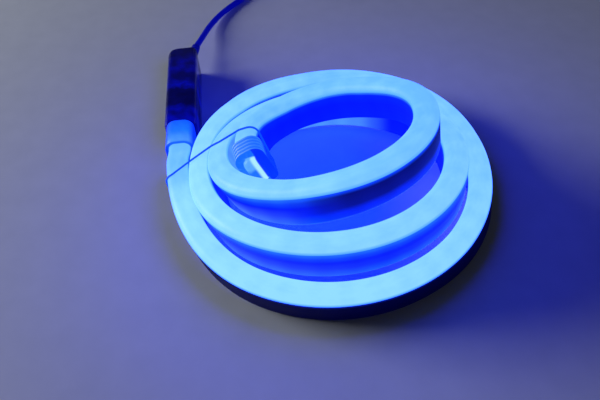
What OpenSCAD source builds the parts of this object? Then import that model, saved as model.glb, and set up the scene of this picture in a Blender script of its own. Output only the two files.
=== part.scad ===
// LED neon flex: three loose turns of a flat flexible light line, with a lead-in
// connector and mains lead at its outer end and a ribbed cap at its inner end.
// Millimetres, +Z up. It lies on z = 0 with its luminous face upwards.

/* [Flex section] */
// Width of the flex
flex_w = 15; // [12:0.5:18]
// Height of the flex, from its underside to the top of its dome
flex_h = 25; // [20:0.5:30]
// Height of the luminous dome above the channel walls
dome_h = 5; // [3:0.5:7]
// Radius of the dome's shoulders, across the flex
shoulder_r = 5; // [2:0.5:5.5]
// Side wall of the opaque channel
wall = 1.5; // [1:0.1:2.2]
// Floor of the opaque channel
floor_t = 2.5; // [1.5:0.1:4]
// Rounding of the channel's lower edges
edge_r = 1.6; // [0.5:0.1:2.4]
// Depth to which the diffuser's tongue sits between the walls
tongue_h = 2; // [1:0.1:3]
// Clearance between pieces that are pressed or moulded together
fit_gap = 0.1; // [0.05:0.05:0.3]
// Clearance round the light core, inside the channel
core_gap = 0.3; // [0.25:0.05:0.5]

/* [Coil] */
// Radius of the outermost turn at its centre line, on the connector's side
coil_r = 98; // [90:1:130]
// Gap between turns that lie against each other
turn_gap = 0.6; // [0.3:0.1:3]
// Level straight stretch of flex that runs into the connector
lead_l = 38; // [36:1:80]
// Straight stretch of flex at the inner end
tail_l = 12; // [12:1:40]

/* [Light engine] */
// Solid base of the light core, under its slot
core_base = 4; // [2.5:0.1:6]
// Width of the core's slot, where the tape stands
slot_w = 3; // [2.6:0.1:5]
// Width of the core's light chamber at its top
chamber_w = 7; // [5.5:0.5:9]
// Diameter of each bus wire, and of the contact pin that meets it
bus_d = 1.2; // [0.8:0.1:1.6]
// Height of the tape that stands in the slot
tape_h = 7; // [5:0.1:8]
// Thickness of the tape
tape_t = 0.4; // [0.2:0.05:0.6]
// Distance from one LED to the next along the tape
led_pitch = 16.5; // [12:0.5:40]
// Length of one side-emitting LED
led_l = 4; // [2.5:0.1:5]
// Depth of one LED, out from the tape
led_w = 1.2; // [0.6:0.1:1.4]
// Height of one LED
led_h = 2; // [1:0.1:3]
// LEDs between one resistor and the next
leds_per_unit = 6; // [3:1:12]
// Length of one resistor
resistor_l = 3.2; // [2:0.1:4]

/* [Front connector] */
// Wall of the clear sleeve that grips the flex
sleeve_wall = 2.4; // [1.5:0.1:3.5]
// Length of the sleeve
sleeve_l = 23; // [16:1:26]
// Length of the clear housing behind the sleeve
housing_l = 94; // [88:1:118]
// Width of the housing
housing_w = 23; // [22:0.5:30]
// Height of the housing
housing_h = 26; // [24:0.5:34]
// Wall of the housing
housing_wall = 1.6; // [1.2:0.1:2.4]
// Rounding of the housing's upper edges
top_edge_r = 4; // [3:0.5:6]
// Plan rounding of the housing's corner away from the lead
far_corner_r = 9; // [4:0.5:10]
// Plan rounding of the housing's other corners
near_corner_r = 3; // [2.5:0.5:5]
// Length of each contact pin inside the housing
pin_l = 14; // [10:1:18]
// Depth to which each contact pin enters the flex
pin_bite = 8; // [4:1:16]
// Length of the circuit board
board_l = 66; // [64:1:68]
// Width of the circuit board
board_w = 16; // [14:0.5:17]
// Thickness of the circuit board
board_t = 1.2; // [0.8:0.1:1.6]
// Length of the rectifier
rectifier_l = 28; // [20:1:30]
// Width of the rectifier
rectifier_w = 12; // [8:0.5:14]
// Height of the rectifier
rectifier_h = 9; // [6:0.5:11]
// Diameter of an insulated core of the lead
core_d = 1.8; // [1.2:0.1:2]
// Length of the strain relief outside the housing
relief_l = 22; // [20:1:30]
// Diameter of the strain relief where it leaves the housing
relief_d = 7.6; // [7:0.1:8.6]

/* [Inner end cap] */
// Wall of the cap's grip
cap_wall = 1.4; // [1:0.1:1.8]
// Length of the cap's grip on the flex
cap_grip = 11; // [8:0.5:11.5]
// Length of the cap's solid nose
cap_nose = 8; // [7:0.5:10]
// Number of ribs round the cap
cap_ribs = 5; // [2:1:5]
// Distance from one rib to the next
rib_pitch = 3.2; // [2.5:0.1:3.8]
// Height of a rib over the cap
rib_h = 0.9; // [0.3:0.1:1]

/* [Tie wire] */
// Diameter of the wire that ties the turns together
tie_d = 1.3; // [0.8:0.1:1.3]
// Length of the wire's twisted end
twist_l = 12; // [8:1:20]

/* [Mains lead] */
// Diameter of the lead
cord_d = 5; // [4:0.1:5]
// Length of the plug's body
plug_l = 34; // [28:1:40]
// Width of the plug's face
plug_w = 35; // [30:0.5:36]
// Thickness of the plug
plug_t = 14; // [12:0.5:16]
// Diameter of a plug pin
plug_pin_d = 4; // [3.8:0.1:4.8]
// Distance between the plug pins
plug_pin_gap = 18.6; // [17:0.1:19.5]
// Length of a plug pin outside the plug
plug_pin_l = 19; // [15:0.5:20]

/* [Hidden] */

// ---- Lie of the coil ----
// One row for each sixth of a turn, from just before the flex meets its straight
// lead-in: how far the turn bulges out of an evenly wound coil, how high its lowest
// edge is above the floor, and how far its top leans out, in degrees.
BULGE = 0;
HEIGHT = 1;
LEAN = 2;
lie = [
    [36, 2, 0], [-1, 2, 10], [-5, 0, 13], [-1, 0, 8], [11, 0, -7], [24, 1, 15],
    [26, 1, -4], [5, 9, 27], [6, 26, 7], [10, 32, 0], [14, 26, 0], [17, 10, 10],
    [20, 6, 22], [14, 19, 27], [5, 40, 3], [15, 64, -3], [16, 60, -7], [13, 42, -2],
    [26, 22, 3], [16, 25, 24], [-25, 20, 11]];
row_deg = 60;
first_row_deg = 120;
start_deg = 170;
end_deg = 1250;
ring_deg = 12;
connector_deg = 180;

// Room that each turn takes from the radius: its own width and gap, and what turns
// of different lean need at their upper and lower edges, on the slope of the nest.
lean_play = 7;
nest_lean = 35;
turn_pitch = (flex_w + turn_gap + flex_h * sin(lean_play)) / cos(nest_lean);

mid_h = flex_h / 2;
wall_h = flex_h - dome_h;
inner_w = flex_w - 2 * wall;
up = [0, 0, 1];

// The connector's sleeve lies on the floor, so it lifts the flex by its own wall.
lead_lift = sleeve_wall + fit_gap;
settle_l = lead_l - sleeve_l - 1;
settle_steps = 4;

function unit(v) = v / norm(v);
function mix(a, b, s) = a + (b - a) * s;
function ease(s) = s * s * (3 - 2 * s);

// Smooth curve through the rows of one column of the lie.
function row(i, col) = lie[max(0, min(len(lie) - 1, i))][col];
function curve(p0, p1, p2, p3, s) =
    (2 * p1 + (p2 - p0) * s + (2 * p0 - 5 * p1 + 4 * p2 - p3) * s * s
        + (3 * p1 - p0 - 3 * p2 + p3) * s * s * s) / 2;
function lie_at(deg, col) =
    let (t = (deg - first_row_deg) / row_deg, i = floor(t))
    curve(row(i - 1, col), row(i, col), row(i + 1, col), row(i + 2, col), t - i);

// Centre of the flex's section, half way up it, at an angle along the coil.
function centre_at(deg) =
    let (
        r = coil_r - turn_pitch * (deg - connector_deg) / 360 + lie_at(deg, BULGE),
        q = lie_at(deg, LEAN)
    )
    [r * cos(deg), r * sin(deg),
        lie_at(deg, HEIGHT) + mid_h * cos(q) + flex_w / 2 * abs(sin(q))];

// A ring of the sweep: centre, direction along the flex, outward and upward.
function ring(p, along, lean) =
    let (
        v0 = unit(up - (up * along) * along),
        u0 = cross(along, v0)
    )
    [p, along, u0 * cos(lean) - v0 * sin(lean), v0 * cos(lean) + u0 * sin(lean)];
function coil_ring(deg) =
    ring(centre_at(deg), unit(centre_at(deg + 0.5) - centre_at(deg - 0.5)), lie_at(deg, LEAN));

first = coil_ring(start_deg);
last = coil_ring(end_deg);
lead_heading = 6.5;
lead_dir = [-sin(lead_heading), cos(lead_heading), 0];
lead_z = mid_h + lead_lift;
function lead_ring(d) =
    let (s = ease(min(1, d / settle_l)), p = first[0] + d * lead_dir)
    ring([p.x, p.y, mix(first[0].z, lead_z, s)], -lead_dir, first_lean * (1 - s));
first_lean = lie_at(start_deg, LEAN);

rings = concat(
    [lead_ring(lead_l)],
    [for (k = [settle_steps : -1 : 1]) lead_ring(k * settle_l / settle_steps)],
    [for (deg = [start_deg : ring_deg : end_deg]) coil_ring(deg)],
    [[last[0] + tail_l * last[1], last[1], last[2], last[3]]]);

// Length along the flex at each ring, and a ring at any length.
ring_count = len(rings);
run = [for (i = 0, s = 0; i < ring_count;
    i = i + 1, s = i < ring_count ? s + norm(rings[i][0] - rings[i - 1][0]) : s) s];
flex_l = run[ring_count - 1];
function span_at(s) = max([for (i = [0 : ring_count - 2]) if (run[i] <= s) i]);
function ring_at(s) =
    let (
        i = span_at(s),
        f = (s - run[i]) / (run[i + 1] - run[i]),
        a = rings[i],
        b = rings[i + 1],
        along = unit(b[0] - a[0]),
        v0 = mix(a[3], b[3], f),
        v = unit(v0 - (v0 * along) * along)
    )
    [mix(a[0], b[0], f), along, cross(along, v), v];

// ---- Outlines across the flex: x outwards, y up from the underside ----
arc_steps = 4;
edge_steps = 2;
function arc(c, rx, ry, a0, a1, n) =
    [for (k = [0 : n]) let (a = mix(a0, a1, k / n)) [c.x + rx * cos(a), c.y + ry * sin(a)]];
function mirrored(pts) = [for (k = [len(pts) - 1 : -1 : 0]) [-pts[k].x, pts[k].y]];

function lower_edge(g) =
    arc([flex_w / 2 - edge_r, edge_r], edge_r + g, edge_r + g, -90, 0, edge_steps);
function shoulder(g) =
    arc([flex_w / 2 - shoulder_r, wall_h], shoulder_r + g, dome_h + g, 0, 90, arc_steps);

// The whole flex, grown all round by g.
function flex_outline(g) =
    let (right = concat(lower_edge(g), shoulder(g))) concat(right, mirrored(right));

jacket_outline = let (right = concat(lower_edge(0), [[flex_w / 2, wall_h], [inner_w / 2, wall_h],
    [inner_w / 2, wall_h - tongue_h], [inner_w / 2, floor_t]])) concat(right, mirrored(right));

tongue_w = inner_w - 2 * fit_gap;
ledge_z = wall_h + fit_gap;
diffuser_outline = let (right = concat(
    [[tongue_w / 2, wall_h - tongue_h], [tongue_w / 2, ledge_z], [flex_w / 2, ledge_z]],
    [for (k = [1 : arc_steps]) shoulder(0)[k]]))
    concat(right, mirrored(right));

core_w = inner_w - 2 * core_gap;
core_z = floor_t + core_gap;
core_top = wall_h - tongue_h - core_gap;
slot_z = core_z + core_base;
tape_top = slot_z + fit_gap + tape_h;
bus_notch = bus_d + fit_gap;
core_outline = let (right = [[core_w / 2 - bus_notch, core_z],
    [core_w / 2 - bus_notch, core_z + bus_notch], [core_w / 2, core_z + bus_notch],
    [core_w / 2, core_top], [chamber_w / 2, core_top], [slot_w / 2, tape_top],
    [slot_w / 2, slot_z]]) concat(right, mirrored(right));

tape_x = -slot_w / 2 + fit_gap + tape_t / 2;
tape_outline = [[tape_x + tape_t / 2, slot_z + fit_gap], [tape_x + tape_t / 2, tape_top],
    [tape_x - tape_t / 2, tape_top], [tape_x - tape_t / 2, slot_z + fit_gap]];

bus_sides = 6;
bus_x = core_w / 2 - bus_d / 2;
bus_z = core_z + bus_d / 2;
function bus_outline(side) = arc([side * bus_x, bus_z], bus_d / 2, bus_d / 2,
    0, 360 - 360 / bus_sides, bus_sides - 1);

// Skin of a sweep: an outline carried along the rings, closed at both ends. Each face
// is split the same way whichever side it is seen from, so that pieces that lie against
// each other keep their clearance where the flex twists.
function on_ring(f, p) = f[0] + p.x * f[2] + (p.y - mid_h) * f[3];
module sweep(path, outline) {
    n = len(outline);
    m = len(path);
    points = [for (f = path) for (p = outline) on_ring(f, p) - origin];
    sides = [for (i = [0 : m - 2]) for (k = [0 : n - 1])
        let (
            j = (k + 1) % n,
            a = i * n + k,
            b = i * n + j,
            climbs = outline[k].x + outline[k].y < outline[j].x + outline[j].y
        )
        each climbs ? [[a, b, b + n], [a, b + n, a + n]] : [[a, b, a + n], [b, b + n, a + n]]];
    ends = [[for (k = [n - 1 : -1 : 0]) k], [for (k = [0 : n - 1]) (m - 1) * n + k]];
    polyhedron(points, concat(sides, ends), convexity = 10);
}

// Puts its children at a ring: x outwards, y along the flex, z up from the underside.
module at_ring(f) {
    o = f[0] - mid_h * f[3] - origin;
    multmatrix([[f[2].x, f[1].x, f[3].x, o.x], [f[2].y, f[1].y, f[3].y, o.y],
        [f[2].z, f[1].z, f[3].z, o.z]])
        children();
}

// The flex's outer end, on the floor: x to the right, y away from the coil.
lead_end = lead_ring(lead_l)[0];
function from_lead_end(p) = [
    lead_end.x + p.x * lead_dir.y + p.y * lead_dir.x,
    lead_end.y - p.x * lead_dir.x + p.y * lead_dir.y, p.z];
module at_lead_end()
    translate([lead_end.x - origin.x, lead_end.y - origin.y, 0])
        rotate([0, 0, lead_heading])
            children();

// A prism with an outline across it, from one y to another, and a plain block.
module bar(y0, y1) translate([0, y1, 0]) rotate([90, 0, 0]) linear_extrude(y1 - y0) children();
module box(low, high) translate(low) cube(high - low);

// ---- Round tubes ----
function tube_dirs(p) = [for (i = [0 : len(p) - 1])
    unit(p[min(i + 1, len(p) - 1)] - p[max(i - 1, 0)])];
function square_to(a, t) = unit(a - (a * t) * t);
function tube_sides(dirs) =
    let (m = len(dirs), a0 = abs(dirs[0].z) > 0.8 ? [1, 0, 0] : up)
    [for (i = 0, a = square_to(a0, dirs[0]); i < m;
        i = i + 1, a = i < m ? square_to(a, dirs[i]) : a) a];
module tube(p, d, n) {
    dirs = tube_dirs(p);
    across = tube_sides(dirs);
    m = len(p);
    points = [for (i = [0 : m - 1]) for (k = [0 : n - 1])
        let (q = 360 * (k + 0.5) / n)
        p[i] - origin + d / 2 * (across[i] * cos(q) + cross(dirs[i], across[i]) * sin(q))];
    sides = [for (i = [0 : m - 2]) for (k = [0 : n - 1])
        let (c = i * n + k, e = i * n + (k + 1) % n)
        each [[c, e + n, e], [c, c + n, e + n]]];
    ends = [[for (k = [0 : n - 1]) k], [for (k = [n - 1 : -1 : 0]) (m - 1) * n + k]];
    polyhedron(points, concat(sides, ends), convexity = 10);
}

// A smooth route through points, with so many steps from each to the next.
function route(p, n) =
    let (m = len(p))
    concat([for (i = [0 : m - 2]) for (k = [0 : n - 1])
        curve(i > 0 ? p[i - 1] : 2 * p[0] - p[1], p[i], p[i + 1],
            i < m - 2 ? p[i + 2] : 2 * p[m - 1] - p[m - 2], k / n)],
        [p[m - 1]]);

// ---- The flex ----
module jacket() color("mediumblue") sweep(rings, jacket_outline);

module diffuser() color("lightskyblue") sweep(rings, diffuser_outline);

module light_core() color("aliceblue") sweep(rings, core_outline);

module led_tape() color("white") sweep(rings, tape_outline);

solder_t = 0.25;
led_x = tape_x + tape_t / 2 + solder_t;
led_count = floor((flex_l - led_pitch) / led_pitch) + 1;
led_start = (flex_l - (led_count - 1) * led_pitch) / 2;
module leds() color("gold")
    for (k = [0 : led_count - 1])
        at_ring(ring_at(led_start + k * led_pitch))
            box([led_x, -led_l / 2, tape_top - led_h], [led_x + led_w, led_l / 2, tape_top]);

resistor_w = 0.6;
resistor_h = 1.6;
resistor_z = slot_z + 1;
module tape_resistors() color("black")
    for (k = [floor(leds_per_unit / 2) : leds_per_unit : led_count - 2])
        at_ring(ring_at(led_start + (k + 0.5) * led_pitch))
            box([led_x, -resistor_l / 2, resistor_z],
                [led_x + resistor_w, resistor_l / 2, resistor_z + resistor_h]);

// The bus wires stop short of the connector, where its pins take their place.
bus_rings = concat([lead_ring(lead_l - pin_bite)], [for (i = [1 : ring_count - 1]) rings[i]]);
module bus_wire_pos() color("peru") sweep(bus_rings, bus_outline(-1));
module bus_wire_neg() color("peru") sweep(bus_rings, bus_outline(1));

// ---- Front connector ----
clear_r = 0.1;

// A clear moulded collar that slides over the flex, arched like it.
collar_l = 3;
collar_h = 0.6;
module sleeve_bar(y0, y1, g) bar(y0, y1) translate([0, lead_lift]) polygon(flex_outline(g));
module front_sleeve() color("powderblue") at_lead_end()
    difference() {
        union() {
            sleeve_bar(-sleeve_l, -fit_gap, lead_lift - collar_h);
            sleeve_bar(-sleeve_l, collar_l - sleeve_l, lead_lift);
            sleeve_bar(-collar_l, -fit_gap, lead_lift);
        }
        sleeve_bar(-sleeve_l - 1, 1, fit_gap);
    }

// Plan of the housing inset by g, with its own rounding at each corner.
function plan(g) =
    let (
        w = housing_w / 2 - g,
        y0 = fit_gap + g,
        y1 = housing_l - g,
        rn = near_corner_r - g,
        rf = far_corner_r - g
    )
    concat(
        arc([w - rn, y0 + rn], rn, rn, -90, 0, arc_steps),
        arc([w - rn, y1 - rn], rn, rn, 0, 90, arc_steps),
        arc([rf - w, y1 - rf], rf, rf, 90, 180, 2 * arc_steps),
        arc([rn - w, y0 + rn], rn, rn, 180, 270, arc_steps));

// Section across the housing inset by g, with rounded upper edges.
function across_housing(g) =
    let (w = housing_w / 2 - g, r = top_edge_r - g)
    concat([[-w, g], [w, g]], arc([w - r, housing_h - g - r], r, r, 0, 90, arc_steps),
        arc([r - w, housing_h - g - r], r, r, 90, 180, arc_steps));
module housing_form(g)
    intersection() {
        linear_extrude(housing_h) polygon(plan(g));
        bar(0, housing_l) polygon(across_housing(g));
    }

// The lead leaves through the far wall, turned a little outwards and down.
seam_z = housing_h / 2;
relief_turn = 9;
relief_dip = 4;
flange_h = 0.6;
flange_l = 2.4;
cord_x = housing_w / 2 - housing_wall - relief_d / 2 - flange_h - 3 * clear_r;
outlet = [cord_x, housing_l - housing_wall / 2, seam_z];
relief_dir = [sin(relief_turn) * cos(relief_dip), cos(relief_turn) * cos(relief_dip),
    -sin(relief_dip)];
relief_back = 3 + flange_l + housing_wall;
relief_front = housing_wall / 2 + relief_l;
relief_far = from_lead_end(outlet + relief_dir * relief_front);
sheath_bend = outlet - relief_dir * relief_back;
sheath_back = 19;
sheath_y = housing_l - sheath_back;
module along_relief() translate(outlet) rotate([-90 - relief_dip, 0, -relief_turn]) children();
module outlet_bore()
    along_relief() translate([0, 0, -2 * housing_wall])
        cylinder(h = 4 * housing_wall, d = relief_d + 2 * clear_r, $fn = 48);

pin_x = bus_x;
pin_z = lead_lift + bus_z;
board_top = pin_z - bus_d / 2;
board_y = housing_wall + 1;
module housing_shell()
    difference() {
        housing_form(0);
        housing_form(housing_wall);
        for (side = [-1, 1]) translate([side * pin_x, -1, pin_z]) rotate([-90, 0, 0])
            cylinder(h = housing_wall + 2, d = bus_d + 2 * clear_r, $fn = 24);
        outlet_bore();
    }
module below_seam() box([-housing_w, -1, -1], [housing_w, housing_l + 1, seam_z - fit_gap / 2]);
module above_seam()
    box([-housing_w, -1, seam_z + fit_gap / 2], [housing_w, housing_l + 1, housing_h + 1]);

// Two pairs of ribs meet at the seam and grip the lead's sheath.
grip_rib_t = 2;
grip_gap = 5;
module grip_ribs(z0, z1)
    difference() {
        for (k = [0, 1]) translate([0, sheath_y + 2 + k * grip_gap, 0])
            box([sheath_bend.x - cord_d, 0, z0], [housing_w / 2 - housing_wall, grip_rib_t, z1]);
        translate([sheath_bend.x, sheath_y, sheath_bend.z]) rotate([-90, 0, 0])
            cylinder(h = 4 * grip_gap, d = cord_d + 2 * clear_r, $fn = 48);
    }

rail_w = 2;
module connector_base() color("powderblue") at_lead_end() {
    intersection() {
        housing_shell();
        below_seam();
    }
    for (side = [-1, 1]) translate([side * (board_w - rail_w) / 2, board_y, 0])
        box([-rail_w / 2, 0, housing_wall], [rail_w / 2, board_l, board_top - board_t]);
    grip_ribs(housing_wall, seam_z - fit_gap / 2);
}

module connector_lid() color("powderblue") at_lead_end() {
    intersection() {
        housing_shell();
        above_seam();
    }
    grip_ribs(seam_z + fit_gap / 2, housing_h - housing_wall);
}

module circuit_board() color("darkgreen") at_lead_end()
    box([-board_w / 2, board_y, board_top - board_t], [board_w / 2, board_y + board_l, board_top]);

rectifier_y = 34;
rectifier_gap = 1.5;
rectifier_bevel = 2;
rectifier_z = board_top + rectifier_gap;
module rectifier() color("black") at_lead_end()
    bar(rectifier_y, rectifier_y + rectifier_l) polygon([
        [-rectifier_w / 2, rectifier_z], [rectifier_w / 2, rectifier_z],
        [rectifier_w / 2, rectifier_z + rectifier_h],
        [rectifier_bevel - rectifier_w / 2, rectifier_z + rectifier_h],
        [-rectifier_w / 2, rectifier_z + rectifier_h - rectifier_bevel]]);

leg_w = 1;
module rectifier_legs() color("silver") at_lead_end()
    for (x = [-1, 1]) for (y = [0, 1])
        translate([x * (rectifier_w / 2 - leg_w), rectifier_y + leg_w + y * (rectifier_l - 2 * leg_w), 0])
            box([-leg_w / 2, -leg_w / 2, board_top], [leg_w / 2, leg_w / 2, rectifier_z]);

module contact_pin(side) at_lead_end()
    translate([side * pin_x, fit_gap - pin_bite, pin_z]) rotate([-90, 0, 0])
        cylinder(h = pin_bite + pin_l, d = bus_d, $fn = 24);
module contact_pin_pos() color("goldenrod") contact_pin(1);
module contact_pin_neg() color("goldenrod") contact_pin(-1);

// The two cores run from the end of the lead's sheath down to the board.
core_steps = 10;
core_x = 3;
function core_route(side) =
    let (
        a = [sheath_bend.x + side * 0.55 * core_d, sheath_y - 3 * clear_r, sheath_bend.z],
        d = [side * core_x, board_y + board_l - 4, board_top + core_d / 2],
        lead = [0, 4, 0]
    )
    [for (k = [0 : core_steps]) let (s = k / core_steps, r = 1 - s)
        from_lead_end(r * r * r * a + 3 * r * r * s * (a - lead) + 3 * r * s * s * (d + lead)
            + s * s * s * d)];
module lead_core_live() color("saddlebrown") tube(core_route(-1), core_d, 8);
module lead_core_neutral() color("royalblue") tube(core_route(1), core_d, 8);

// A moulded relief with a flange on each side of the wall and a ribbed taper.
relief_ribs = 4;
taper_l = relief_l - flange_l;
rib_step = taper_l / (relief_ribs + 1);
relief_tip_r = cord_d / 2 + 0.9;
relief_groove = 0.5;
relief_out = housing_wall / 2 + (relief_d / 2 + flange_h) * sin(relief_turn + relief_dip) + clear_r;
function taper_r(s) = mix(relief_d / 2, relief_tip_r, s / taper_l);
relief_profile = concat(
    [[cord_d / 2 + clear_r, -relief_out - flange_l], [relief_d / 2 + flange_h, -relief_out - flange_l],
    [relief_d / 2 + flange_h, -relief_out], [relief_d / 2, -relief_out], [relief_d / 2, relief_out],
    [relief_d / 2 + flange_h, relief_out], [relief_d / 2 + flange_h, relief_out + flange_l / 2]],
    [for (k = [0 : relief_ribs]) let (s = k * rib_step, z = relief_out + flange_l / 2 + s) each [
        [taper_r(s) - relief_groove, z], [taper_r(s) - relief_groove, z + 0.4 * rib_step],
        [taper_r(s), z + 0.4 * rib_step], [taper_r(s + rib_step), z + rib_step]]],
    [[cord_d / 2 + clear_r, relief_out + flange_l / 2 + taper_l]]);
module strain_relief() color("navy") at_lead_end() along_relief()
    rotate_extrude($fn = 48) polygon(relief_profile);

// ---- Inner end cap ----
cap_grow = fit_gap + cap_wall;
rib_l = 1.6;
cap_back = max(cap_wall, (cap_ribs - 1) * rib_pitch - cap_grip + rib_l);
nose_in = 2;
nose_w = flex_w / 2 - nose_in;
nose_r = 0.9 * nose_w;
nose_end_r = 3;
nose_outline = let (right = concat(
    arc([nose_w - nose_r, nose_in + nose_r], nose_r, nose_r, -90, 0, arc_steps),
    arc([nose_w - nose_r, flex_h - nose_in - nose_r], nose_r, nose_r, 0, 90, arc_steps)))
    concat(right, mirrored(right));
nose_plan = let (right = concat([[nose_w, 0]],
    arc([nose_w - nose_end_r, cap_nose - nose_end_r], nose_end_r, nose_end_r, 0, 90, arc_steps)))
    concat(right, mirrored(right));
module end_cap() color("powderblue") at_ring(rings[ring_count - 1])
    difference() {
        union() {
            bar(-cap_grip, cap_back) polygon(flex_outline(cap_grow));
            intersection() {
                bar(0, cap_nose) polygon(nose_outline);
                linear_extrude(flex_h) polygon(nose_plan);
            }
            for (k = [0 : cap_ribs - 1]) translate([0, k * rib_pitch - cap_grip, 0])
                bar(0, rib_l) polygon(flex_outline(cap_grow + rib_h));
        }
        bar(-cap_grip - 1, fit_gap) polygon(flex_outline(fit_gap));
    }

// ---- Tie wire ----
// It loops once round the turns on the connector's side, each crossed at its own
// angle along the coil. Its ends are twisted together and lie along the outer wall.
tie_over = [178, 532, 889, 1240];
tie_under = [178, 531, 884, 1240];
tie_slack = 0.25;
tie_grow = tie_d / 2 + tie_slack;
function run_to(deg) =
    let (t = (deg - start_deg) / ring_deg, i = floor(t), first_i = settle_steps + 1 + i)
    mix(run[first_i], run[first_i + 1], t - i);
function at_turn(deg, pts) = let (f = ring_at(run_to(deg))) [for (p = pts) on_ring(f, p)];
function part_of(pts, first, last) = [for (k = [first : last]) pts[k]];
tie_top = concat(shoulder(tie_grow), mirrored(shoulder(tie_grow)));
tie_bottom = concat(mirrored(lower_edge(tie_grow)), lower_edge(tie_grow));
wire_gap = tie_d * 0.55;
twist_steps = 16;
twist_turns = 2;
twist_at = [flex_w / 2 + tie_grow + wire_gap, wall_h / 2];
function strand(phase) =
    let (
        f = ring_at(run_to(tie_over[0])),
        p = on_ring(f, twist_at),
        out = unit(-f[1] - 0.3 * f[3]),
        rise = unit(cross(out, f[2])),
        side = cross(out, rise)
    )
    [for (k = [0 : twist_steps]) let (s = k / twist_steps, q = phase + 360 * twist_turns * s)
        p + out * (wire_gap + twist_l * s) + wire_gap * (rise * cos(q) + side * sin(q))];
function backwards(pts) = [for (k = [len(pts) - 1 : -1 : 0]) pts[k]];
tie_route = concat(
    backwards(strand(0)),
    at_turn(tie_over[0], shoulder(tie_grow)),
    at_turn(tie_over[1], [mirrored(shoulder(tie_grow))[0]]),
    at_turn(tie_over[2], part_of(tie_top, arc_steps - 2, arc_steps + 1)),
    at_turn(tie_over[3], part_of(tie_top, arc_steps - 1, 2 * arc_steps + 1)),
    at_turn(tie_under[3], mirrored(lower_edge(tie_grow))),
    at_turn(tie_under[2], part_of(tie_bottom, 1, edge_steps + 2)),
    at_turn(tie_under[1], part_of(tie_bottom, 1, edge_steps + 2)),
    at_turn(tie_under[0], tie_bottom),
    strand(180));
module tie_wire() color("whitesmoke") tube(tie_route, tie_d, 6);

// ---- Mains lead ----
// Out of the relief, down to the floor and along it to the coil that holds the rest.
cord_sides = 8;
tie_band_t = 1;
tie_band_w = 8;
coil_centre = [-38, 304, 0];
coil_mean_r = 27.5;
coil_lanes = 3;
coil_layers = 3;
coil_play = 0.2;
coil_w = coil_lanes * cord_d + coil_play;
coil_h = coil_layers * cord_d + coil_play;
coil_lift = tie_band_t + 0.1;
cord_points = [[-106, 192, 8.5], [-103, 211, 5.5], [-97, 230, 3.6], [-88, 247, 2.8], [-79, 260, 2.6],
    [-73, 272, 2.8], [-70.5, 284.8, 3.6]];
plug_points = [[-11.2, 330.1, 13.6], [-4, 328, 13], [6, 324.5, 10.5], [16, 321.6, 8],
    [26, 318.8, plug_t / 2]];
plug_turn = -106;
plug_end = plug_points[len(plug_points) - 1] + [0.3, -0.1, 0];
plug_relief_l = 18;
plug_neck_w = 14;
plug_face_l = 16;

sheath_route = [from_lead_end([sheath_bend.x, sheath_y, sheath_bend.z]), from_lead_end(sheath_bend),
    from_lead_end(outlet), from_lead_end(outlet + relief_dir * relief_front / 2), relief_far];
module power_cord() color("navy")
    tube(concat(sheath_route, [for (k = [1 : 4 * len(cord_points)])
        route(concat([relief_far], cord_points), 4)[k]]), cord_d, cord_sides);

module cord_coil() color("navy") translate(coil_centre - origin)
    translate([0, 0, coil_lift]) rotate_extrude($fn = 96)
        translate([coil_mean_r - coil_w / 2, 0]) square([coil_w, coil_h]);

module cord_tie() color("black") translate(coil_centre - origin) rotate([0, 0, -90])
    difference() {
        box([coil_mean_r - coil_w / 2 - 1.6, -tie_band_w / 2, 0],
            [coil_mean_r + coil_w / 2 + 1.2, tie_band_w / 2, coil_lift + coil_h + 1.2]);
        box([coil_mean_r - coil_w / 2 - 0.6, -tie_band_w, coil_lift - 0.1],
            [coil_mean_r + coil_w / 2 + 0.1, tie_band_w, coil_lift + coil_h + 0.1]);
    }

module plug_lead() color("navy") tube(route(plug_points, 4), cord_d, cord_sides);

module at_plug() translate(plug_end - origin) rotate([0, 0, plug_turn]) children();
plug_edge_r = 5;
plug_plan = let (right = [[plug_neck_w / 2, 0], [plug_w / 2, plug_l - plug_face_l], [plug_w / 2, plug_l]])
    concat(right, mirrored(right));
plug_section = let (w = plug_w / 2 - plug_edge_r, t = plug_t / 2 - plug_edge_r, right = concat(
    arc([w, -t], plug_edge_r, plug_edge_r, -90, 0, 4), arc([w, t], plug_edge_r, plug_edge_r, 0, 90, 4)))
    concat(right, mirrored(right));
module plug_body() color("black") at_plug()
    union() {
        rotate([-90, 0, 0])
            cylinder(h = plug_relief_l + 1, r1 = cord_d / 2 + 0.6, r2 = plug_t / 2 - 1, $fn = 32);
        intersection() {
            translate([0, plug_relief_l, -plug_t / 2]) linear_extrude(plug_t) polygon(plug_plan);
            bar(plug_relief_l, plug_relief_l + plug_l) polygon(plug_section);
        }
    }

module plug_pin(side) at_plug() translate([side * plug_pin_gap / 2, plug_relief_l + plug_l, 0])
    rotate([-90, 0, 0]) cylinder(h = plug_pin_l, d = plug_pin_d, $fn = 32);
module plug_pin_live() color("silver") plug_pin(-1);
module plug_pin_neutral() color("silver") plug_pin(1);

// The part's origin: the middle of its footprint, without the mains lead.
function reach(points, axis) = let (v = [for (p = points) p[axis]]) (min(v) + max(v)) / 2;
edge_points = concat(
    [for (f = rings) for (x = [-flex_w / 2, flex_w / 2]) on_ring(f, [x, wall_h])],
    [for (f = rings) for (p = flex_outline(0)) on_ring(f, p)],
    [for (p = plan(0)) from_lead_end([p.x, p.y, 0])],
    [relief_far]);
origin = [reach(edge_points, 0), reach(edge_points, 1), 0];

jacket();
diffuser();
light_core();
led_tape();
leds();
tape_resistors();
bus_wire_pos();
bus_wire_neg();
front_sleeve();
connector_base();
connector_lid();
circuit_board();
rectifier();
rectifier_legs();
contact_pin_pos();
contact_pin_neg();
lead_core_live();
lead_core_neutral();
strain_relief();
end_cap();
tie_wire();
power_cord();
cord_coil();
cord_tie();
plug_lead();
plug_body();
plug_pin_live();
plug_pin_neutral();
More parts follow.
